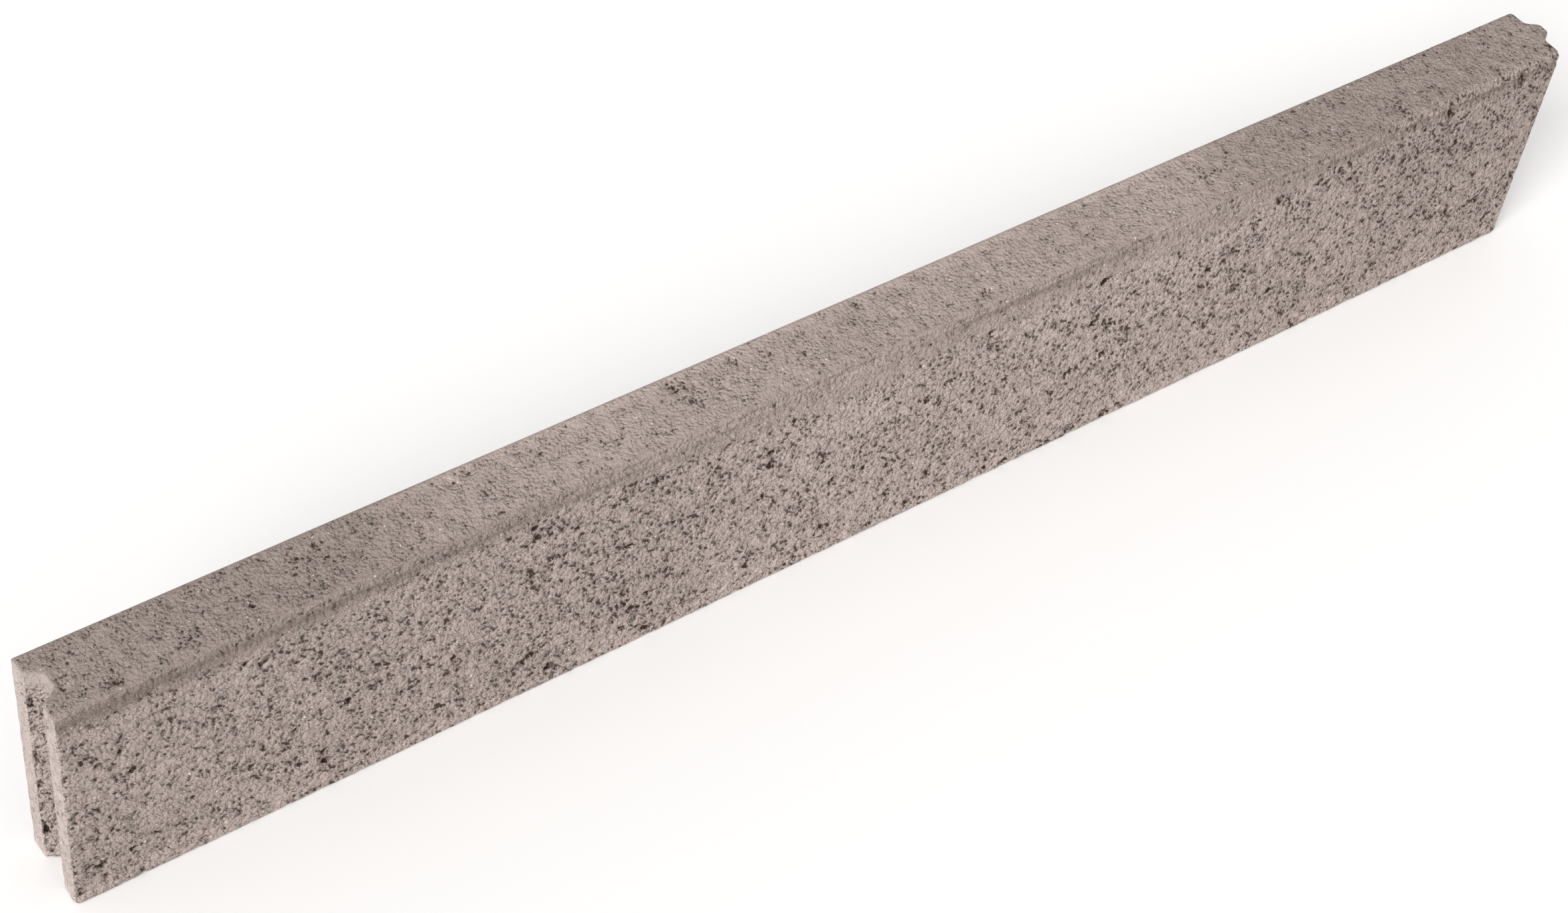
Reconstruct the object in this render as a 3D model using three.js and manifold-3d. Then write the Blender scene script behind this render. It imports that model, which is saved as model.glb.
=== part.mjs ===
// Tongue-and-groove concrete edging kerb: one pressed piece that stands on its narrow base.
//
// Millimetres, +Z up. +X runs along the stone towards its tongue, -Y is one long face and
// +Y the other. The origin is at the middle of the overall length and width, on the base.
//
// The mould box gives the plan outline: two shoulders at each end, with a groove sunk
// between one pair and a tongue standing out between the other. The tamper shoe that
// presses the mix from above gives the top: rounded long arrises, and a press line where
// the shoe, a little narrower than the box, leaves a small ledge on both long faces.

import * as THREE from 'three';
import { mergeVertices } from 'three/addons/utils/BufferGeometryUtils.js';
import Module from 'manifold-3d';

// ---- Driving dimensions ----

const LAYING_LENGTH = 1000; // shoulder to shoulder: what one stone covers in a row
const WIDTH = 48;
const HEIGHT = 150;

const GROOVE_MOUTH = 21; // between the groove's lips, measured on the shoulder plane
const GROOVE_FLOOR = 10; // across the bottom of the groove
const GROOVE_DEPTH = 9;
const TONGUE_TIP = 8; // across the nose of the tongue
const KEY_CLEARANCE = 1; // between a tongue and the groove of the next stone

const SHOULDER_RADIUS = 2.5; // upright corners of the stone
const LIP_RADIUS = 2; // upright lips of the groove
const FLOOR_RADIUS = 3.5; // corners at the bottom of the groove
const NOSE_RADIUS = 4.5; // corners of the tongue's nose
const ROOT_RADIUS = 3; // where the tongue grows out of its shoulders
const EDGE_RADIUS = 1.2; // small round on every edge of the top and the base

const TOP_RADIUS = 5.5; // long arrises, left by the tamper shoe
const PRESS_LINE_DEPTH = 6.8; // from the top down to the press line
const SHOE_CLEARANCE = 0.8; // between the tamper shoe and the wall of the mould box

const ARC_STEPS = 6; // segments on each rounded corner
const TOP_ARC_STEPS = 10; // segments on each long top arris

// ---- Derived dimensions ----

const TONGUE_HEIGHT = GROOVE_DEPTH - KEY_CLEARANCE;
const TONGUE_ROOT = GROOVE_MOUTH - 2 * KEY_CLEARANCE;
const OVERALL_LENGTH = LAYING_LENGTH + TONGUE_HEIGHT;

const GROOVE_PLANE = -OVERALL_LENGTH / 2; // shoulders on each side of the groove
const TONGUE_PLANE = GROOVE_PLANE + LAYING_LENGTH; // shoulders on each side of the tongue

const { Manifold, Mesh: SolidMesh } = await loadManifold();

async function loadManifold() {
  const wasm = await Module();
  wasm.setup();
  return wasm;
}

// ---- Outlines ----

// A closed outline through corners [x, y, radius]. Each corner is rounded by its radius,
// or by less where the arcs at the two ends of a side would meet on it.
function roundedOutline(corners, steps) {
  const bends = corners.map((_, index) => cornerBend(corners, index));
  const points = bends.flatMap((bend, index) => {
    const before = bends.at(index - 1);
    const after = bends[(index + 1) % bends.length];
    const room = Math.min(
      1,
      bend.lengthIn / (bend.reach + before.reach),
      bend.lengthOut / (bend.reach + after.reach)
    );
    return cornerPoints(bend, bend.reach * room, steps);
  });
  return new THREE.Shape(points);
}

// How an outline turns at one corner, and how far along its sides its arc would reach.
function cornerBend(corners, index) {
  const [x, y, radius] = corners[index];
  const corner = new THREE.Vector2(x, y);
  const before = new THREE.Vector2(...corners.at(index - 1));
  const after = new THREE.Vector2(...corners[(index + 1) % corners.length]);
  const inward = corner.clone().sub(before);
  const outward = after.sub(corner);
  const turn = Math.atan2(inward.cross(outward), inward.dot(outward));
  return {
    corner,
    turn,
    lengthIn: inward.length(),
    lengthOut: outward.length(),
    heading: inward.normalize(),
    reach: radius * Math.tan(Math.abs(turn) / 2),
  };
}

// The points of one corner: the corner itself where nothing is to be rounded, and otherwise
// an arc that touches both of its sides at the given reach from it.
function cornerPoints({ corner, turn, heading }, reach, steps) {
  if (reach === 0) return [corner];
  const start = corner.clone().addScaledVector(heading, -reach);
  const towardsCentre = new THREE.Vector2(-heading.y, heading.x);
  const centre = start.clone().addScaledVector(towardsCentre, reach / Math.tan(turn / 2));
  return Array.from({ length: steps + 1 }, (_, step) =>
    start.clone().rotateAround(centre, (turn * step) / steps)
  );
}

// The inside of the mould box seen from above.
function planOutline() {
  const side = WIDTH / 2;
  const mouth = GROOVE_MOUTH / 2;
  const floor = GROOVE_FLOOR / 2;
  const root = TONGUE_ROOT / 2;
  const tip = TONGUE_TIP / 2;
  const floorPlane = GROOVE_PLANE + GROOVE_DEPTH;
  const tipPlane = TONGUE_PLANE + TONGUE_HEIGHT;
  return roundedOutline(
    [
      [GROOVE_PLANE, -side, SHOULDER_RADIUS],
      [TONGUE_PLANE, -side, SHOULDER_RADIUS],
      [TONGUE_PLANE, -root, ROOT_RADIUS],
      [tipPlane, -tip, NOSE_RADIUS],
      [tipPlane, tip, NOSE_RADIUS],
      [TONGUE_PLANE, root, ROOT_RADIUS],
      [TONGUE_PLANE, side, SHOULDER_RADIUS],
      [GROOVE_PLANE, side, SHOULDER_RADIUS],
      [GROOVE_PLANE, mouth, LIP_RADIUS],
      [floorPlane, floor, FLOOR_RADIUS],
      [floorPlane, -floor, FLOOR_RADIUS],
      [GROOVE_PLANE, -mouth, LIP_RADIUS],
    ],
    ARC_STEPS
  );
}

// The shape that the tamper shoe presses, across the stone. Below the press line it is
// wider than the stone, so only the top of the stone takes its form from it.
function pressedOutline() {
  const shoe = WIDTH / 2 - SHOE_CLEARANCE;
  const ledgeTop = HEIGHT - PRESS_LINE_DEPTH + SHOE_CLEARANCE;
  const spare = WIDTH / 4;
  const ledgeEnd = [shoe + spare, ledgeTop - spare];
  return roundedOutline(
    [
      [-ledgeEnd[0], -spare, 0],
      [ledgeEnd[0], -spare, 0],
      [ledgeEnd[0], ledgeEnd[1], 0],
      [shoe, ledgeTop, 0],
      [shoe, HEIGHT, TOP_RADIUS],
      [-shoe, HEIGHT, TOP_RADIUS],
      [-shoe, ledgeTop, 0],
      [-ledgeEnd[0], ledgeEnd[1], 0],
    ],
    TOP_ARC_STEPS
  );
}

// ---- Solids ----

// A closed three.js geometry as a solid that can be cut.
function toSolid(geometry) {
  geometry.deleteAttribute('normal');
  geometry.deleteAttribute('uv');
  const merged = mergeVertices(geometry);
  return new Manifold(
    new SolidMesh({
      numProp: 3,
      vertProperties: new Float32Array(merged.attributes.position.array),
      triVerts: new Uint32Array(merged.index.array),
    })
  );
}

function toGeometry(solid) {
  const { vertProperties, triVerts } = solid.getMesh();
  const geometry = new THREE.BufferGeometry();
  geometry.setAttribute('position', new THREE.BufferAttribute(vertProperties, 3));
  geometry.setIndex(new THREE.BufferAttribute(triVerts, 1));
  geometry.computeVertexNormals();
  return geometry;
}

// The stone as the mould box leaves it: the plan outline drawn up to full height, with a
// small round on the edges of its top and base.
function boxedStone() {
  const geometry = new THREE.ExtrudeGeometry(planOutline(), {
    depth: HEIGHT - 2 * EDGE_RADIUS,
    bevelThickness: EDGE_RADIUS,
    bevelSize: EDGE_RADIUS,
    bevelOffset: -EDGE_RADIUS,
    bevelSegments: 3,
  });
  geometry.translate(0, 0, EDGE_RADIUS);
  return toSolid(geometry);
}

// The room under the tamper shoe, drawn along the whole stone and past both ends.
function pressedRoom() {
  const length = OVERALL_LENGTH + WIDTH;
  const geometry = new THREE.ExtrudeGeometry(pressedOutline(), {
    depth: length,
    bevelEnabled: false,
  });
  geometry.translate(0, 0, -length / 2);
  geometry.rotateX(Math.PI / 2);
  geometry.rotateZ(Math.PI / 2);
  return toSolid(geometry);
}

// ---- The stone ----

const concrete = new THREE.MeshStandardMaterial({
  color: 0x9f9189,
  roughness: 0.95,
  metalness: 0,
});

const kerbStone = new THREE.Mesh(
  toGeometry(boxedStone().intersect(pressedRoom())),
  concrete
);
kerbStone.name = 'kerb_stone';

const group = new THREE.Group();
group.add(kerbStone);

export default group;
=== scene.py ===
"""A dry-pressed concrete kerb stone, worn and pitted, on a pale studio floor."""

import itertools
import math

import bmesh
import bpy
import numpy as np
from bpy.props import FloatProperty, FloatVectorProperty, IntProperty, PointerProperty
from mathutils import Matrix, Vector


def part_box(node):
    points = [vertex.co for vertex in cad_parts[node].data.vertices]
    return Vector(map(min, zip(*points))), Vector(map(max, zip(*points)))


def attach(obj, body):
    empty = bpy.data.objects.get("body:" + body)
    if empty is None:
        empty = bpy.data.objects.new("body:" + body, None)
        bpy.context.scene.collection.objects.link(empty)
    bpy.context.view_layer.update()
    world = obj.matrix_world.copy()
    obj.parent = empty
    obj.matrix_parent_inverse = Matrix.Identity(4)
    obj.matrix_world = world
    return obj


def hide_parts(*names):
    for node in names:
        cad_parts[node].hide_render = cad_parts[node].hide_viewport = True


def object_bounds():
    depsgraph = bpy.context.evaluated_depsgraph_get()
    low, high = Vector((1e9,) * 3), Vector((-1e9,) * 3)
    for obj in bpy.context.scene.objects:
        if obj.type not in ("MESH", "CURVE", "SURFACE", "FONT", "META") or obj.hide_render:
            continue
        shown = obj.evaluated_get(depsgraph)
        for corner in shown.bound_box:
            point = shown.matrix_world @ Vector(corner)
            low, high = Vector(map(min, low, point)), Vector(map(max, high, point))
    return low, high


bl_info = {
    "name": "Concrete kerb stone",
    "version": (1, 0, 0),
    "blender": (4, 5, 0),
    "location": "View3D > Sidebar > Kerb stone",
    "description": "Gives a pressed kerb stone its pits, worn arrises and concrete, and lights it",
    "category": "Mesh",
}

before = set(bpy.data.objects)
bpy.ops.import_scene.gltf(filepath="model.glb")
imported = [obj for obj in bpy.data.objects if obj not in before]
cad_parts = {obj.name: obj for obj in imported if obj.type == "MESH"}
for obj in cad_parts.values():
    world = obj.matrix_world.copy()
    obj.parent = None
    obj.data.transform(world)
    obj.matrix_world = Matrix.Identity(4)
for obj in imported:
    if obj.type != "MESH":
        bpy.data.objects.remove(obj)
CAD_LOW, CAD_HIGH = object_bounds()
STONE_LOW, STONE_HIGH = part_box("kerb_stone")

MM = 0.001


# ---- Noise that comes out the same each time ----

# Whole numbers that spread neighbouring cells evenly over 32 bits.
HASH_STRIDES = np.array([73856093, 19349663, 83492791], dtype=np.int64)
HASH_SALT = 1013904223
HASH_ROUNDS = ((16, 0x7FEB352D), (15, 0x846CA68B))
HASH_LAST_SHIFT = 16
SHARE_BITS = 10

# Each pattern's own number, so that no two patterns repeat each other.
LINE_WANDER, LINE_SWAY, LINE_FADE, BAND_WAVER, BAND_TREMBLE, MOUTH_EDGE = range(11, 17)
ARRIS_RUB, ARRIS_NIBBLE = range(21, 23)
PASTE_EDGE, PASTE_FRAY = range(31, 33)
BORDER_BENDS = (41, 42, 43)
CLUSTERS, COARSE_GRAINS, MEDIUM_GRAINS, SLOW_WAVES, RAGGED_LUMPS, GROOVE_HOLE_EDGE = range(44, 50)
RAGGED_CRUMBS, TORN_HOLES, TORN_EDGE = range(50, 53)


def scatter(cells, salt):
    """Three repeatable random numbers from 0 to 1 for each whole-number cell."""
    mixed = ((cells * HASH_STRIDES).sum(axis=1) + salt * HASH_SALT).astype(np.uint32)
    for shift, multiplier in HASH_ROUNDS:
        mixed ^= mixed >> np.uint32(shift)
        mixed *= np.uint32(multiplier)
    mixed ^= mixed >> np.uint32(HASH_LAST_SHIFT)
    most = (1 << SHARE_BITS) - 1
    shares = np.stack([mixed >> np.uint32(SHARE_BITS * place) for place in range(3)], axis=1)
    return (shares & np.uint32(most)) / most


def swell(points, size, salt):
    """Smooth noise from -1 to 1, whose humps are about size across."""
    place = points / size
    corner = np.floor(place).astype(np.int64)
    share = place - corner
    share = share * share * (3 - 2 * share)
    total = np.zeros(len(points))
    for step in itertools.product((0, 1), repeat=3):
        weight = np.where(step, share, 1 - share).prod(axis=1)
        total += weight * scatter(corner + step, salt)[:, 0]
    return 2 * total - 1


def grains(points, size, salt):
    """For each point, the distance to its grain's middle in grain sizes, and that grain's own number."""
    place = points / size
    cell = np.floor(place).astype(np.int64)
    nearest = np.full(len(points), np.inf)
    number = np.zeros(len(points))
    for step in itertools.product((-1, 0, 1), repeat=3):
        neighbour = cell + step
        chance = scatter(neighbour, salt)
        distance = ((neighbour + chance - place) ** 2).sum(axis=1)
        closer = distance < nearest
        nearest = np.where(closer, distance, nearest)
        number = np.where(closer, chance[:, 0], number)
    return np.sqrt(nearest), number


def ramp(low, high, value):
    """0 below low and 1 above high, with a soft start and end."""
    share = np.clip((value - low) / (high - low), 0, 1)
    return share * share * (3 - 2 * share)


# ---- The stone's own shape ----

# A stretch is four places in mm: where something starts, is full, is still full and has ended.
# Along the stone they count from its middle, and these pairs lie beyond its two ends.
OFF_GROOVE_END = (-700, -600)
OFF_TONGUE_END = (600, 700)

# How squarely a point has to face one way before it starts to belong to the face that looks
# that way, and before it belongs to it in full.
SQUARELY = (0.5, 0.9)


def within(stretch, place):
    """1 in the full part of a stretch and 0 outside it, with soft ends."""
    start, full, still_full, end = (edge * MM for edge in stretch)
    return ramp(start, full, place) * ramp(end, still_full, place)


def patched(plain, patches, place):
    """A plain value, plus what each patch adds on its own stretch."""
    value = plain
    for change, stretch in patches:
        value = value + change * within(stretch, place)
    return value


def remeshed_copy(node, step, name):
    """The CAD node's shape as a new object of even squares, ready to be worked."""
    stone = bpy.data.objects.new(name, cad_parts[node].data.copy())
    bpy.context.scene.collection.objects.link(stone)
    remesh = stone.modifiers.new("even squares", "REMESH")
    remesh.mode = "VOXEL"
    remesh.voxel_size = step
    apply_modifiers(stone)
    return stone


def apply_modifiers(stone):
    """Keeps the shape that the modifiers give, and takes the modifiers off."""
    shaped = stone.evaluated_get(bpy.context.evaluated_depsgraph_get())
    mesh = bpy.data.meshes.new_from_object(shaped)
    stone.modifiers.clear()
    stone.data = mesh


def read_vectors(collection, field):
    """A mesh's positions or normals as rows of three numbers."""
    values = np.zeros(len(collection) * 3, dtype=np.float32)
    collection.foreach_get(field, values)
    return values.reshape(-1, 3).astype(float)


# How marked the press line is, from 0 to 1: the faintest mark on the front face, what each
# stretch adds to it, and the mark on the back face.
FAINTEST_MARK = 0.30
FRONT_MARKS = (
    (0.30, (*OFF_GROOVE_END, -170, -90)),
    (0.35, (*OFF_GROOVE_END, -400, -290)),
    (0.65, (-10, 50, 140, 175)),
    (0.50, (310, 360, *OFF_TONGUE_END)),
    (0.20, (430, 480, *OFF_TONGUE_END)),
)
BACK_MARK = 0.6

# The dark strip along the press line and the softer skirt under it, partly paste that the shoe has rubbed
# and partly painted shade in the line's valley: in mm above the line, where the skirt is fainter,
# and the share of those widths that they have along the stone.
RUBBED_AND_SHADED_STRIP = (-4.0, -1.0, 2.8, 5.6)
SKIRT = (-12.0, -2.0, 2.8, 7.0)
SKIRT_MARK = 0.6
SKIRT_GAPS = ((-0.7, (-350, -250, 150, 200)),)
NARROWEST_STRIP = 0.55
WIDER_STRIPS = ((0.40, (*OFF_GROOVE_END, -450, -310)), (0.15, (-60, 20, 150, 200)))

# Where the solid's straight ledge starts and is full, up from the base, how softly the drawn
# line steps in its place, and the half width of its valley.
LEDGE_FOOT = 143.2 * MM
LEDGE_TOP = 144.0 * MM
LEDGE_SOFTNESS = 2.0 * MM
VALLEY_HALF_WIDTH = 2.2 * MM


def face_run(points):
    """Each point's place along its own long face, so that the two faces have their own patterns."""
    return points * (1, 0, 0) + np.sign(points) * (0, 1, 0)


def press_line_height(points, sizes):
    """How high the press line runs at each point: it wanders along the stone."""
    run = face_run(points)
    wander = 0.6 * swell(run, 90 * MM, LINE_WANDER) + 0.4 * swell(run, 24 * MM, LINE_SWAY)
    return STONE_HIGH.z - sizes.press_line_drop + sizes.press_line_wander * wander


def press_line_strength(points):
    """How marked the press line is at each point, from 0 to 1: it comes and goes along the front."""
    front = patched(FAINTEST_MARK, FRONT_MARKS, points[:, 0])
    strength = np.where(points[:, 1] < 0, front, BACK_MARK)
    return np.clip(strength + 0.2 * swell(face_run(points), 40 * MM, LINE_FADE), 0, 1)


def draw_press_line(points, sizes):
    """Moves the straight CAD ledge to a soft, wandering one with a shallow valley in it."""
    height = points[:, 2]
    above = height - press_line_height(points, sizes)
    half = STONE_HIGH.y
    ledge = half - sizes.press_ledge * ramp(LEDGE_FOOT, LEDGE_TOP, height)
    soft = sizes.press_ledge * ramp(-LEDGE_SOFTNESS, LEDGE_SOFTNESS, above)
    valley = sizes.press_valley * press_line_strength(points) * np.exp(-((above / VALLEY_HALF_WIDTH) ** 2))
    points[:, 1] *= (half - soft - valley) / ledge


def press_band(points, sizes):
    """1 along the dark strip by the press line, with a soft skirt under it: partly paste that the shoe has
    rubbed, partly painted shade in the line's valley.
    """
    x = points[:, 0]
    waver = MM * swell(points, 14 * MM, BAND_WAVER) + MM * swell(points, 4 * MM, BAND_TREMBLE)
    above = points[:, 2] - press_line_height(points, sizes) + waver
    above /= patched(NARROWEST_STRIP, WIDER_STRIPS, x)
    skirt = SKIRT_MARK * within(SKIRT, above) * patched(1.0, SKIRT_GAPS, x)
    return np.maximum(within(RUBBED_AND_SHADED_STRIP, above), skirt) * press_line_strength(points)


# A reach so long that the cut runs level along that axis.
FAR = 1e6


def knock_off(points, corner, reach, rough):
    """Breaks off an arris or a corner. reach is how far in it goes along each axis."""
    slope = 1 / np.array(reach)
    inward = np.where(np.array(corner) > 0, -1.0, 1.0)
    inward[2] = 1.0 if corner[2] < STONE_HIGH.z / 2 else -1.0
    depth = (points - np.array(corner)) * inward
    lack = np.clip(1 + rough - depth @ slope, 0, None)
    points += lack[:, None] * (slope / (slope @ slope)) * inward


# How far in the arrises of the two ends are rubbed, against those of the base.
FRONT_GROOVE_ARRIS = 0.8
BACK_GROOVE_ARRIS = 0.2
TONGUE_ARRIS = 0.8
TOP_END_ARRIS = 0.4


def wear_arrises(points, sizes):
    """Rubs every arris a little, unevenly, and knocks off the corners that were dropped."""
    worn = 0.55 * swell(points, 11 * MM, ARRIS_RUB) + 0.45 * swell(points, 3.5 * MM, ARRIS_NIBBLE)
    low, high = STONE_LOW, STONE_HIGH
    shoulder = high.x - sizes.tongue_height
    wear = sizes.arris_wear
    tongue_wear = TONGUE_ARRIS * wear
    top_wear = TOP_END_ARRIS * wear
    for y, groove_wear in ((low.y, FRONT_GROOVE_ARRIS * wear), (high.y, BACK_GROOVE_ARRIS * wear)):
        knock_off(points, (0, y, low.z), (FAR, wear, wear), worn)
        knock_off(points, (low.x, y, low.z), (groove_wear, groove_wear, FAR), worn)
        knock_off(points, (shoulder, y, low.z), (tongue_wear, tongue_wear, FAR), worn)
    for x in (low.x, high.x):
        knock_off(points, (x, 0, low.z), (wear, FAR, wear), worn)
        knock_off(points, (x, 0, high.z), (top_wear, FAR, top_wear), worn)
    # Four corners are chipped: how far along the stone, across it and up it, in chip heights.
    for corner, reach in (
        ((low.x, low.y, low.z), (2.4, 1.6, 1.0)),
        ((low.x, high.y, low.z), (0.8, 1.2, 0.8)),
        ((shoulder, high.y, high.z), (1.2, 1.2, 1.4)),
        ((shoulder, low.y, low.z), (0.6, 0.6, 0.6)),
    ):
        knock_off(points, corner, [sizes.corner_chip * share for share in reach], worn)


# Where the skin of the groove end stops, in tongue heights from that end, and how softly.
GROOVE_SKIN = 1.3
GROOVE_SKIN_FADE = 3 * MM
# Where the skin of the tongue end starts and is full, from its shoulders.
TONGUE_SKIN = (-1.5 * MM, 0.5 * MM)
# How far out from the middle plane the skin of the long faces starts and is full.
OUTER_SKIN = (14 * MM, 18 * MM)
# The edge of the groove and its full share: out from the middle plane, and in from the end.
GROOVE_HALF = (11.5 * MM, 10 * MM)
GROOVE_SUNK = (0.6 * MM, 1.6 * MM)
# The edge of the smooth mouth and its full share: aside, down from the top and in from the end.
MOUTH_HALF = (12 * MM, 10.5 * MM)
MOUTH_DROP = (16 * MM, 9 * MM)
MOUTH_SUNK = (12 * MM, 11 * MM)


def end_share(points, normals, sizes):
    """1 on the two ends, groove and tongue included, and 0 on the long faces."""
    deepest = STONE_LOW.x + GROOVE_SKIN * sizes.tongue_height
    groove = ramp(deepest, deepest - GROOVE_SKIN_FADE, points[:, 0])
    shoulder = STONE_HIGH.x - sizes.tongue_height
    tongue = ramp(*(shoulder + edge for edge in TONGUE_SKIN), points[:, 0])
    long_face = ramp(*SQUARELY, np.abs(normals[:, 1])) * ramp(*OUTER_SKIN, np.abs(points[:, 1]))
    return np.maximum(groove, tongue) * (1 - long_face)


def groove_share(points, normals, sizes):
    """1 on the walls and floor of the groove, 0 on the shoulders beside it."""
    inside = ramp(*GROOVE_HALF, np.abs(points[:, 1]))
    sunk = ramp(*GROOVE_SUNK, points[:, 0] - STONE_LOW.x) * (points[:, 0] < 0)
    return inside * sunk * end_share(points, normals, sizes)


def mouth_share(points):
    """1 on the smooth paste just inside the groove's top."""
    inside = ramp(*MOUTH_HALF, np.abs(points[:, 1]))
    drop = STONE_HIGH.z - points[:, 2] + 4 * MM * swell(points, 9 * MM, MOUTH_EDGE)
    near_end = ramp(*(STONE_LOW.x + edge for edge in MOUTH_SUNK), points[:, 0])
    return inside * ramp(*MOUTH_DROP, drop) * near_end


# The smeared paste reaches furthest down in the middle, and gives out before the tongue end.
# Its lower edge is a soft one, and it lies only as deep as the outer skin of the long faces.
DEEP_PASTE = (-190, -70, 230, 310)
PASTE_RUN = (*OFF_GROOVE_END, 320, 380)
PASTE_LOWER_EDGE = (-4 * MM, 1 * MM)
PASTE_SKIN = (7 * MM, 2 * MM)


def paste_share(points, sizes):
    """1 where the shoe has smeared cement paste under the press line, 0 where grains lie open."""
    x = points[:, 0]
    above = points[:, 2] - press_line_height(points, sizes)
    inside = STONE_HIGH.y - np.abs(points[:, 1])
    lower = 3 * MM + 9 * MM * within(DEEP_PASTE, x)
    lower += 4 * MM * swell(points, 45 * MM, PASTE_EDGE)
    lower += 2 * MM * swell(points, 9 * MM, PASTE_FRAY)
    on_side = ramp(*(edge - lower for edge in PASTE_LOWER_EDGE), above)
    return on_side * ramp(*PASTE_SKIN, inside) * within(PASTE_RUN, x)


# Holes torn in the groove's back wall: height up the wall, half height and half width, in mm.
# They lie this far in from the end and out from the middle plane.
GROOVE_HOLES = (
    (126, 3.5, 1.8), (106, 2, 1.3), (83, 5.5, 2.0), (62, 2.5, 1.4), (43, 3.5, 1.7), (24, 5.5, 1.6),
)
GROOVE_HOLE_IN = 2.2 * MM
GROOVE_HOLE_OUT = 9.2 * MM


def groove_holes(points):
    """How deep each point lies in one of the holes torn in the groove's wall, from 0 to 1."""
    deepest = np.zeros(len(points))
    for height, tall, wide in GROOVE_HOLES:
        offset = points - (STONE_LOW.x + GROOVE_HOLE_IN, GROOVE_HOLE_OUT, height * MM)
        spread = np.array((wide, wide, tall)) * MM
        edge = 1 - ((offset / spread) ** 2).sum(axis=1) + 1.3 * swell(points, 2.8 * MM, GROOVE_HOLE_EDGE)
        deepest = np.maximum(deepest, ramp(0, 0.6, edge))
    return deepest


# The grain numbers at which a torn hollow starts to have a width and at which it has all of it,
# and where its rim starts and is full, in spacings.
TORN_NUMBERS = (0.2, 1.0)
TORN_RIM = (-0.01, 0.07)


def torn_holes(points, bent, sizes):
    """How deep each point lies in one of the hollows that single coarse grains left, from 0 to 1."""
    gap, number = grains(bent, sizes.torn_spacing, TORN_HOLES)
    reach = sizes.torn_width / 2 / sizes.torn_spacing * ramp(*TORN_NUMBERS, number)
    return ramp(*TORN_RIM, reach - gap + 0.05 * swell(points, 2.6 * MM, TORN_EDGE))


# How far the grain borders stray, how deep the medium voids and the torn holes are against the
# coarse voids, and how far from a grain's middle, in grain sizes, its voids start and are full.
BORDER_STRAY = 1.3 * MM
MEDIUM_VOID_DEPTH = 0.6
TORN_HOLE_DEPTH = 1.5
COARSE_VOID = (0.84, 1.02)
MEDIUM_VOID = (0.80, 0.98)


def pit_stone(points, normals, sizes):
    """Opens the voids and hollows straight in from each face, and returns how open each point is."""
    top = ramp(*SQUARELY, normals[:, 2])
    ends = end_share(points, normals, sizes) * (1 - top)
    groove = groove_share(points, normals, sizes) * (1 - top)
    mouth = mouth_share(points)
    paste = paste_share(points, sizes)

    bend = np.stack([swell(points, 3 * MM, salt) for salt in BORDER_BENDS], axis=1)
    bent = points + BORDER_STRAY * bend
    coarse_gap, coarse_number = grains(bent, sizes.coarse_grain, COARSE_GRAINS)
    medium_gap, medium_number = grains(bent, sizes.medium_grain, MEDIUM_GRAINS)
    cluster = swell(points, 26 * MM, CLUSTERS)
    # Voids are shy of struck and smeared skin, of the ends, but less so in the groove, and most
    # of all of the smooth mouth.
    shy = 0.06 * top + 0.30 * paste * (1 - ends) + 0.12 * ends - 0.06 * groove + 0.5 * mouth
    coarse = ramp(*COARSE_VOID, coarse_gap + 0.12 * cluster - shy)
    medium = ramp(*MEDIUM_VOID, medium_gap + 0.08 * cluster - shy)
    torn = torn_holes(points, bent, sizes) * (1 - 0.6 * top) * (1 - ends) * (1 - paste)
    holes = np.maximum(groove_holes(points), torn)

    depth = sizes.void_depth * (
        coarse + MEDIUM_VOID_DEPTH * medium * (1 - coarse) + TORN_HOLE_DEPTH * holes
    )
    depth += sizes.unevenness * (1 + swell(points, 55 * MM, SLOW_WAVES)) / 2
    plates = 0.5 * (coarse_number - 0.5) + 0.5 * (medium_number - 0.5)
    depth += sizes.grain_relief * (0.5 + plates) * (1 - 0.7 * top) * (1 - 0.8 * paste)
    ragged = 0.6 * swell(points, 8 * MM, RAGGED_LUMPS) + 0.4 * swell(points, 3 * MM, RAGGED_CRUMBS)
    depth += sizes.ragged_ends * ends * (1 - mouth) * (1 + ragged) / 2
    points -= normals * depth[:, None]
    return np.clip(coarse + MEDIUM_VOID_DEPTH * medium, 0, 1) + holes


# Where the long faces and the top have dried palest, along the stone, and how squarely a point
# faces up where the tone of the top starts and is full.
PALE_FACES = (-200, -60, 210, 330)
PALE_TOP = (-360, -250, 180, 340)
TOP_TONE = (0.1, 0.6)


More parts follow.
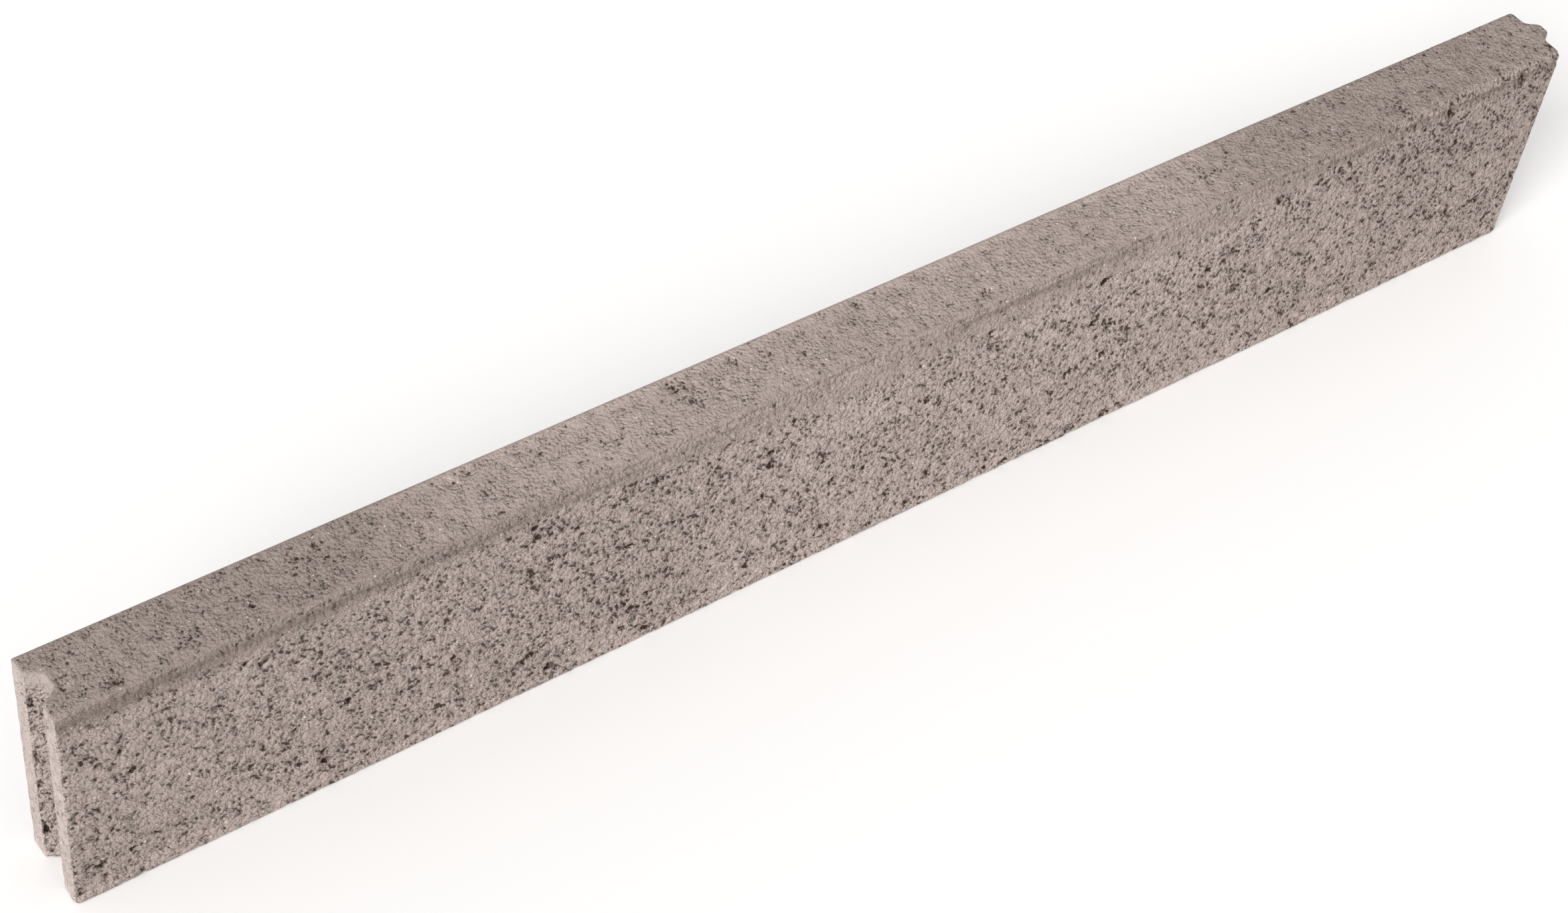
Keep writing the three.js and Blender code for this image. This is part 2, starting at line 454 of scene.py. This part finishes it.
def damp_light_and_shade_share(points, normals):
    """1 where the concrete is darker, 0 where it is palest: its slow changes of tone, with painted light
    near the base and painted light and shade along the top's arrises.
    """
    x, y, z = points.T
    top = ramp(*TOP_TONE, normals[:, 2])
    pale = within(PALE_FACES, x)
    pale_top = within(PALE_TOP, x)
    far_front = ramp(300 * MM, 430 * MM, x) * ramp(20 * MM, 125 * MM, z)
    # Painted light: towards the base the long faces are painted paler, as if lit from the floor.
    foot = ramp(22 * MM, 4 * MM, z)
    side = 0.36 - 0.20 * pale + 0.18 * far_front - (0.25 + 0.12 * pale) * foot

    flat = 0.98 - 0.10 * ramp(250 * MM, 450 * MM, x) - 0.38 * pale_top
    # Along the back edge the top is painted paler: partly smoother paste, partly a painted highlight on
    # the rounded back arris.
    flat -= 0.32 * pale_top * ramp(12 * MM, 20 * MM, y)
    flat += 0.40 * ramp(-478 * MM, -498 * MM, x) * ramp(4 * MM, 16 * MM, np.abs(y))

    # Painted light and shade on the rounded front arris, set by how it faces: darker towards the groove
    # end, where it meets the press line's painted shade, and paler elsewhere.
    arris = ramp(0.05, 0.35, normals[:, 2]) * ramp(0.98, 0.80, normals[:, 2]) * (y < 0)
    arris *= 0.45 * ramp(-150 * MM, -300 * MM, x) - 0.22
    return np.clip(side * (1 - top) + flat * top + arris, 0, 1.2)


def keep_in_box(points):
    """Brings back any point that stands outside the CAD solid's box."""
    np.clip(points, STONE_LOW, STONE_HIGH, out=points)


def store(mesh, name, values):
    """Keeps one number for each point of the mesh, for its material to read."""
    attribute = mesh.attributes.new(name, "FLOAT", "POINT")
    attribute.data.foreach_set("value", values.astype(np.float32))


def thin_out(stone, most_triangles):
    """Spends the triangles where the surface bends, and leaves out the rest."""
    polygons = len(stone.data.polygons)
    thin = stone.modifiers.new("thin out", "DECIMATE")
    thin.ratio = min(1.0, most_triangles / (2 * polygons))
    thin.use_collapse_triangulate = True
    apply_modifiers(stone)


# Towards the groove end the skin of the long faces is a little more closed, and towards the
# tongue end the top is rougher.
CLOSED_SKIN = (*OFF_GROOVE_END, -440, -330)
CLOSED_SKIN_PASTE = 0.35
ROUGH_TOP = (150, 380, *OFF_TONGUE_END)
ROUGH_TOP_SHARE = 0.5


def press_stone(sizes):
    """The worked stone: an even skin over the CAD solid, worn, pitted and thinned out."""
    stone = remeshed_copy("kerb_stone", sizes.skin_step, "pressed_stone")
    mesh = stone.data
    points = read_vectors(mesh.vertices, "co")
    normals = read_vectors(mesh.vertices, "normal")

    top = ramp(*SQUARELY, normals[:, 2])
    ends = end_share(points, normals, sizes) * (1 - top)
    mouth = mouth_share(points)
    groove = groove_share(points, normals, sizes) * (1 - mouth)
    tongue = points[:, 0] > 0
    bloom = np.maximum(ends * (1 - 0.75 * groove - 0.5 * tongue), mouth * (1 - top))
    closed = CLOSED_SKIN_PASTE * within(CLOSED_SKIN, points[:, 0]) * (1 - top) * (1 - ends)
    paste = np.maximum(np.maximum(paste_share(points, sizes), mouth), closed)
    # The dark press-line strip: partly rubbed paste, partly painted shade in the line's valley.
    band = press_band(points, sizes) * (1 - ends)
    # Painted shade: the ends, which face the key light, are painted darker, and the groove half as much.
    damp = damp_light_and_shade_share(points, normals) + 0.25 * ends * (1 - 0.5 * groove)

    draw_press_line(points, sizes)
    voids = pit_stone(points, normals, sizes)
    wear_arrises(points, sizes)
    keep_in_box(points)
    mesh.vertices.foreach_set("co", points.astype(np.float32).ravel())
    struck = top * (1 - ROUGH_TOP_SHARE * within(ROUGH_TOP, points[:, 0]))
    for name, values in (
        ("void", voids), ("paste", paste), ("top_face", struck),
        ("bloom", bloom), ("damp", damp), ("press_line", band),
    ):
        store(mesh, name, values)
    mesh.update()
    thin_out(stone, sizes.triangles)
    stone.data.polygons.foreach_set("use_smooth", [True] * len(stone.data.polygons))
    return stone


# ---- Materials ----


def linear(hex_colour):
    """A colour written as sRGB hex, as linear red, green, blue and alpha."""
    channels = [int(hex_colour[place:place + 2], 16) / 255 for place in (1, 3, 5)]
    return [c / 12.92 if c <= 0.04045 else ((c + 0.055) / 1.055) ** 2.4 for c in channels] + [1.0]


def add_node(tree, kind, inputs=None, **settings):
    """Adds a node, gives it its settings, and feeds each input a value or another node's output."""
    node = tree.nodes.new(kind)
    for name, value in settings.items():
        setattr(node, name, value)
    for socket, value in (inputs or {}).items():
        if isinstance(value, bpy.types.NodeSocket):
            tree.links.new(value, node.inputs[socket])
        else:
            node.inputs[socket].default_value = value
    return node


def weighted(tree, start, parts):
    """A starting number plus patterns, each times its weight."""
    total = start
    for pattern, weight in parts:
        inputs = {0: pattern, 1: weight, 2: total}
        total = add_node(tree, "ShaderNodeMath", inputs, operation="MULTIPLY_ADD").outputs[0]
    return total


# Cement stone bends light about as much as glass does. Cast smooth it has a roughness near 0.8,
# and the open skin of a dry mix is rougher.
CONCRETE_IOR = 1.5
CONCRETE_ROUGHNESS = 0.93

# Crushed grains are not round: their borders are bent, in waves this wide and this far from
# side to side.
BEND_WIDTH = 6.0 * MM
BEND_REACH = 3.5 * MM

# The least share of the relief that is left where the skin was rubbed smooth.
LEAST_RELIEF = 0.25


def dry_pressed_concrete(look):
    """Dry-pressed concrete, shaken into a steel mould and struck out at once.

    The mix is barely damp, so it leaves the mould with open pores between its grains. To the
    eye that is a matt, warm grey skin of smooth plates with ragged hollows torn between them,
    closed to a finer stipple where the steel has rubbed it, and a pale bloom of lime on the ends.
    """
    material = bpy.data.materials.new("dry_pressed_concrete")
    material.use_nodes = True
    tree = material.node_tree
    tree.nodes.clear()
    void, paste, top, bloom, damp, band = (
        add_node(tree, "ShaderNodeAttribute", attribute_name=name).outputs["Fac"]
        for name in ("void", "paste", "top_face", "bloom", "damp", "press_line")
    )

    # The grains lie aslant, and are longer than they are thick. The pores of the struck top
    # don't: they are as wide one way as the other.
    even = add_node(tree, "ShaderNodeTexCoord").outputs["Object"]
    inputs = {"Vector": even, "Rotation": look.grain_lie, "Scale": look.grain_stretch}
    aslant = add_node(tree, "ShaderNodeMapping", inputs, vector_type="TEXTURE").outputs["Vector"]
    inputs = {"Vector": aslant, "Scale": 1 / BEND_WIDTH, "Detail": 2.0}
    bend = add_node(tree, "ShaderNodeTexNoise", inputs).outputs["Color"]
    inputs = {0: bend, 1: (BEND_REACH,) * 3, 2: aslant}
    bent = add_node(tree, "ShaderNodeVectorMath", inputs, operation="MULTIPLY_ADD").outputs[0]

    # The patterns, from the real width of what each one draws. The fine sand, 1.0, and its
    # single pale grains, 1.5, which also stand for painted glints, are finer in a real mix, and are drawn
    # this coarse so that they show.
    noises = []
    for place, width, detail, roughness in (
        (aslant, 7 * MM, 3.0, 0.6),
        (aslant, 20 * MM, 2.0, 0.5),
        (aslant, 60 * MM, 3.0, 0.5),
        (aslant, 1.8 * MM, 1.0, 0.5),
        (aslant, 1.0 * MM, 1.0, 0.5),
        (aslant, 1.5 * MM, 0.0, 0.5),
        (bent, look.sand_grain, 1.0, 0.5),
        (bent, look.pore_size, 1.2, 0.5),
        (even, look.top_pore_size, 1.5, 0.5),
    ):
        inputs = {"Vector": place, "Scale": 1 / width, "Detail": detail, "Roughness": roughness}
        noises.append(add_node(tree, "ShaderNodeTexNoise", inputs).outputs["Fac"])
    ruffle, swarm, drying, fine, speckle, pale, stipple, coarse_pit, fine_pit = noises
    large, small = (
        add_node(tree, "ShaderNodeTexVoronoi", {"Vector": bent, "Scale": 1 / width}).outputs["Distance"]
        for width in (look.large_grain, look.small_grain)
    )

    # Hollows lie where large and small grains leave a gap, in swarms some 7 and 20 mm across.
    # Pores a millimetre or two wide, darkest in the middle, open in the same swarms, and are
    # finer on the struck top. Both keep away from smeared, struck and limy skin. The higher the
    # starting number, the more of the skin lies open.
    hollow = weighted(tree, -1.625, (
        (large, 0.9), (small, 0.6), (ruffle, 1.0), (swarm, 0.5), (void, 0.5), (fine, 0.3),
        (paste, -0.30), (top, -0.35), (bloom, -0.30),
    ))
    pit = add_node(tree, "ShaderNodeMix", {0: top, 2: coarse_pit, 3: fine_pit}).outputs[0]
    pore = weighted(tree, -2.295, (
        (pit, 2.8), (ruffle, 1.1), (swarm, 0.7), (void, 0.5), (damp, 0.2),
        (paste, -0.20), (top, -0.24), (bloom, -0.45), (band, -0.10),
    ))

    # Where each pattern starts to show, and where it is full. The pricks between the sand grains
    # are the finest pits, and stipple every face alike.
    shares = []
    for pattern, start, full in (
        (hollow, look.hollow_start, look.hollow_start + look.hollow_width),
        (pore, 0.31, 0.77),
        (stipple, 0.50, 0.92),
        (speckle, 0.35, 0.65),
        (pale, 0.80, 0.86),
    ):
        inputs = {"Value": pattern, "From Min": start, "From Max": full}
        share = add_node(tree, "ShaderNodeMapRange", inputs, interpolation_type="SMOOTHSTEP")
        shares.append(share.outputs["Result"])
    hollows, pores, pricks, sand, pale_grains_and_glints = shares

    # Slow changes of tone, from the way the mix was spread and dried, with the painted light and shade
    # that the damp attribute also carries.
    dampness_and_shading = weighted(tree, -0.395, (
        (damp, 1.0), (drying, 0.43), (ruffle, 0.36), (paste, 0.45), (bloom, -0.20),
    ))

    # The colours, one over the other: where each lies, how strongly it covers, and the colour.
    skin = look.dry_paste
    for share, strength, layer in (
        (dampness_and_shading, 1.0, look.damp_and_shaded_paste),
        (sand, 0.20, look.pale_grain),
        (bloom, 0.30, look.lime_bloom),
        # Partly rubbed paste, partly painted shade in the press line's valley.
        (band, 0.60, look.rubbed_and_shaded_paste),
        # The pore colour over the hollows, pores and pricks is painted shade in the pits.
        (hollows, 0.35, look.pore),
        (pores, 0.97, look.pore),
        (pricks, 0.30, look.pore),
        # The palest specks: partly pale grains of sand, partly painted glints.
        (pale_grains_and_glints, 0.80, look.pale_sand_and_glints),
    ):
        amount = add_node(tree, "ShaderNodeMath", {0: share, 1: strength}, operation="MULTIPLY").outputs[0]
        skin = add_node(tree, "ShaderNodeMix", {0: amount, 6: skin, 7: layer}, data_type="RGBA").outputs[2]

    # The relief, in millimetres, and how much of it is left: less where the skin was struck or
    # rubbed, or has bloomed.
    relief = weighted(tree, 0.0, (
        (hollows, -0.4), (pores, -2.2), (pricks, -0.3), (pit, -6.2), (ruffle, 1.0), (fine, 0.4),
    ))
    left = weighted(tree, 0.2, (
        (top, -0.60), (paste, -0.35), (bloom, -0.50), (band, -0.15), (ruffle, 1.6),
    ))
    left = add_node(tree, "ShaderNodeMath", {0: left, 1: LEAST_RELIEF}, operation="MAXIMUM").outputs[0]
    height = add_node(tree, "ShaderNodeMath", {0: relief, 1: left}, operation="MULTIPLY").outputs[0]
    bump = add_node(tree, "ShaderNodeBump", {"Height": height, "Distance": MM, "Strength": 1.0})
    concrete = add_node(
        tree, "ShaderNodeBsdfPrincipled",
        {"Base Color": skin, "Roughness": CONCRETE_ROUGHNESS, "IOR": CONCRETE_IOR,
         "Normal": bump.outputs["Normal"]},
    )
    add_node(tree, "ShaderNodeOutputMaterial", {"Surface": concrete.outputs[0]})
    return material


def studio_floor_paint(stage):
    """Matt white studio paint, rolled: an even, almost white ground with no gloss."""
    material = bpy.data.materials.new("matt_studio_paint")
    material.use_nodes = True
    shader = material.node_tree.nodes["Principled BSDF"]
    shader.inputs["Base Color"].default_value = stage.floor_colour
    shader.inputs["Roughness"].default_value = 1.0
    shader.inputs["Specular IOR Level"].default_value = 0.0
    return material


# ---- Sizes and colours that a user may change ----


def length(name, description, millimetres, least=0.0):
    """A length property, in metres as Blender keeps it, from a default in millimetres."""
    return FloatProperty(
        name=name, description=description, default=millimetres * MM, min=least * MM,
        subtype="DISTANCE", unit="LENGTH", precision=4,
    )


def colour(name, description, hex_colour):
    """A colour property with its default written as sRGB hex."""
    return FloatVectorProperty(
        name=name, description=description, default=linear(hex_colour), size=4,
        subtype="COLOR", min=0.0, max=1.0,
    )


class KerbStoneSizes(bpy.types.PropertyGroup):
    """Sizes of the stone's relief and wear."""

    skin_step: length("Skin step", "Spacing of the points that the relief is worked on", 1.05, 0.5)
    triangles: IntProperty(
        name="Triangles", description="Most triangles that the finished stone keeps",
        default=190000, min=2000, max=199000,
    )
    tongue_height: length("Tongue height", "How far the tongue stands out of its shoulders", 8.0)
    press_ledge: length("Press ledge", "Step left where the tamper shoe clears the mould wall", 0.8)
    press_line_drop: length("Press line drop", "Height from the press line up to the top", 7.4)
    press_line_wander: length("Press line wander", "How far the press line strays up and down", 0.9)
    press_valley: length("Press valley", "Depth of the valley along the press line", 0.5)
    coarse_grain: length("Coarse grain", "Size of the largest grains that show", 7.5, 2.0)
    medium_grain: length("Medium grain", "Size of the middling grains that show", 4.2, 2.0)
    void_depth: length("Void depth", "Depth of the voids between coarse grains", 1.9)
    torn_spacing: length("Torn hole spacing", "How far apart the larger torn hollows lie", 15.0, 4.0)
    torn_width: length("Torn hole width", "How wide the widest torn hollow is", 8.0)
    grain_relief: length("Grain relief", "How much one grain's face stands over another's", 0.35)
    ragged_ends: length("Ragged ends", "How far the torn skin of the ends is set back", 0.45)
    unevenness: length("Unevenness", "Slow waves of the long faces", 0.3)
    arris_wear: length("Arris wear", "How far in the arrises are rubbed away", 1.6, 0.1)
    corner_chip: length("Corner chip", "How high the chips at the corners are", 5.0, 0.1)


class ConcreteLook(bpy.types.PropertyGroup):
    """Colours and grain of the concrete."""

    dry_paste: colour("Dry paste", "Cement paste where it dried first", "#c2b0a8")
    # Also the colour of the painted shade on the ends and the front arris.
    damp_and_shaded_paste: colour("Damp paste", "Cement paste where it stayed damp longer", "#8c7d75")
    # Partly rubbed paste, partly painted shade in the press line's valley.
    rubbed_and_shaded_paste: colour("Rubbed paste", "Dense paste rubbed by the tamper shoe", "#6f6158")
    pale_grain: colour("Pale grain", "Pale sand grains under the paste", "#d2c8c2")
    lime_bloom: colour("Lime bloom", "Lime bloomed out on the ends", "#ccc4bf")
    # Partly pale grains, partly painted glints.
    pale_sand_and_glints: colour("Lime sand", "The palest single grains of sand", "#f4f0ec")
    pore: colour("Pore", "Shaded floor of the pores", "#44280e")
    large_grain: length("Large grain", "Size of the grains that the larger pores lie between", 3.4, 0.2)
    small_grain: length("Small grain", "Size of the grains that the smaller pores lie between", 1.9, 0.2)
    sand_grain: length("Sand grain", "Size of the sand that the finest pits lie between", 1.4, 0.2)
    pore_size: length("Pore size", "How wide the commonest pores are with their rims", 2.5, 0.2)
    top_pore_size: length("Top pore size", "The same on the struck top", 2.0, 0.2)
    grain_lie: FloatVectorProperty(
        name="Grain lie", description="How the long way of the grains is tipped and turned", size=3,
        default=(math.radians(43.0), 0.0, math.radians(-42.0)), subtype="EULER", unit="ROTATION",
    )
    grain_stretch: FloatVectorProperty(
        name="Grain stretch", description="How much longer the grains are than they are thick", size=3,
        default=(0.92, 0.92, 1.66), min=0.1, max=10.0, subtype="XYZ",
    )
    hollow_start: FloatProperty(
        name="Hollow start", description="How wide a gap between grains has to be to lie open",
        default=-0.1, min=-2.0, max=2.0,
    )
    hollow_width: FloatProperty(
        name="Hollow width", description="How softly the hollows deepen", default=0.9, min=0.01, max=2.0,
    )


class StudioStage(bpy.types.PropertyGroup):
    """Floor, lights and camera."""

    floor_colour: colour("Floor colour", "Paint of the studio floor", "#f9f8f7")
    sky_brightness: FloatProperty(
        name="Sky brightness", description="Light from all round", default=0.65, min=0.0, max=10.0,
    )
    key_strength: FloatProperty(
        name="Key strength", description="Strength of the light from one side", default=2.5, min=0.0,
    )
    key_width: FloatProperty(
        name="Key width", description="How wide the key light looks from the stone",
        default=math.radians(32.0), min=0.0, max=math.pi, subtype="ANGLE", unit="ROTATION",
    )
    focal_length: FloatProperty(
        name="Focal length", description="Lens on a sensor 36 mm wide", default=69.2, min=10.0,
        subtype="DISTANCE_CAMERA", unit="CAMERA",
    )


# ---- The studio ----

# Where the camera stands, which way it looks from +Y towards +X, how far down, and its roll.
CAMERA_PLACE = Vector((-0.8183, -0.8372, 1.2795))
CAMERA_AZIMUTH = math.radians(42.06)
CAMERA_DIP = math.radians(47.06)
CAMERA_ROLL = math.radians(8.97)


def camera_axes():
    """The camera's right, up and backward directions, from its heading, dip and roll."""
    flat = math.cos(CAMERA_DIP)
    ahead = Vector((
        math.sin(CAMERA_AZIMUTH) * flat, math.cos(CAMERA_AZIMUTH) * flat, -math.sin(CAMERA_DIP),
    ))
    level = ahead.cross(Vector((0, 0, 1))).normalized()
    upright = level.cross(ahead)
    right = level * math.cos(CAMERA_ROLL) + upright * math.sin(CAMERA_ROLL)
    up = upright * math.cos(CAMERA_ROLL) - level * math.sin(CAMERA_ROLL)
    return right, up, -ahead


# Half the floor's width, in metres. The studio camera doesn't see its edge, but a camera set
# low enough to look across the floor does.
FLOOR_HALF = 30.0

# The side that the key light comes from: over the groove end, and a little in front.
KEY_SIDE = (-0.75, -0.34, 0.60)

# The sensor that the focal length is given for, in millimetres.
SENSOR_WIDTH = 36.0


def lay_floor(scene, stage):
    """A wide plain floor at the height of the stone's base."""
    shape = bmesh.new()
    corners = [shape.verts.new((x * FLOOR_HALF, y * FLOOR_HALF, CAD_LOW.z)) for x, y in
               ((-1, -1), (1, -1), (1, 1), (-1, 1))]
    shape.faces.new(corners)
    mesh = bpy.data.meshes.new("studio_floor")
    shape.to_mesh(mesh)
    shape.free()
    mesh.materials.append(studio_floor_paint(stage))
    floor = bpy.data.objects.new("studio_floor", mesh)
    scene.collection.objects.link(floor)


def hang_lights(scene, stage):
    """A soft light from the groove end, and even light from all round."""
    world = bpy.data.worlds.new("studio")
    world.use_nodes = True
    background = world.node_tree.nodes["Background"]
    background.inputs["Color"].default_value = (1.0, 1.0, 1.0, 1.0)
    background.inputs["Strength"].default_value = stage.sky_brightness
    scene.world = world
    key = bpy.data.lights.new("key_light", "SUN")
    key.energy = stage.key_strength
    key.angle = stage.key_width
    lamp = bpy.data.objects.new("key_light", key)
    towards = Vector(KEY_SIDE).normalized()
    lamp.location = towards
    lamp.rotation_mode = "QUATERNION"
    lamp.rotation_quaternion = towards.to_track_quat("Z", "Y")
    scene.collection.objects.link(lamp)


def place_camera(scene, stage):
    """A camera above the groove end, looking down along the stone."""
    lens = bpy.data.cameras.new("studio_camera")
    lens.sensor_width = SENSOR_WIDTH
    lens.lens = stage.focal_length
    camera = bpy.data.objects.new("studio_camera", lens)
    right, up, back = camera_axes()
    turn = Matrix((right, up, back)).transposed().to_4x4()
    camera.matrix_world = Matrix.Translation(CAMERA_PLACE) @ turn
    scene.collection.objects.link(camera)
    scene.camera = camera


# ---- Operators and panel ----


class KERB_OT_press_stone(bpy.types.Operator):
    """Build the pitted, worn stone over the CAD solid and give it its concrete"""

    bl_idname = "kerb.press_stone"
    bl_label = "Press the kerb stone"

    def execute(self, context):
        stone = press_stone(context.scene.kerb_sizes)
        stone.data.materials.clear()
        stone.data.materials.append(dry_pressed_concrete(context.scene.kerb_concrete))
        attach(stone, "root")
        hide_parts("kerb_stone")
        return {"FINISHED"}


class KERB_OT_set_stage(bpy.types.Operator):
    """Lay the floor, hang the lights and place the camera"""

    bl_idname = "kerb.set_stage"
    bl_label = "Set the studio stage"

    def execute(self, context):
        scene = context.scene
        stage = scene.kerb_stage
        lay_floor(scene, stage)
        hang_lights(scene, stage)
        place_camera(scene, stage)
        scene.view_settings.view_transform = "Standard"
        return {"FINISHED"}


class KERB_PT_panel(bpy.types.Panel):
    """Lists the steps and their sizes in the sidebar."""

    bl_label = "Kerb stone"
    bl_idname = "KERB_PT_panel"
    bl_space_type = "VIEW_3D"
    bl_region_type = "UI"
    bl_category = "Kerb stone"

    def draw(self, context):
        layout = self.layout
        for group in GROUPS:
            held = getattr(context.scene, group)
            for name in held.bl_rna.properties.keys():
                if name not in ("rna_type", "name"):
                    layout.prop(held, name)
        layout.operator(KERB_OT_press_stone.bl_idname)
        layout.operator(KERB_OT_set_stage.bl_idname)


CLASSES = (
    KerbStoneSizes, ConcreteLook, StudioStage, KERB_OT_press_stone, KERB_OT_set_stage, KERB_PT_panel,
)
GROUPS = {"kerb_sizes": KerbStoneSizes, "kerb_concrete": ConcreteLook, "kerb_stage": StudioStage}


def register():
    """Adds the classes, and the groups of sizes and colours to every scene."""
    for kind in CLASSES:
        bpy.utils.register_class(kind)
    for name, kind in GROUPS.items():
        setattr(bpy.types.Scene, name, PointerProperty(type=kind))


def unregister():
    """Takes away what register added."""
    for name in GROUPS:
        delattr(bpy.types.Scene, name)
    for kind in reversed(CLASSES):
        bpy.utils.unregister_class(kind)


def main():
    """Builds the scene from start to finish."""
    register()
    bpy.ops.kerb.press_stone()
    bpy.ops.kerb.set_stage()


if __name__ == "__main__":
    main()
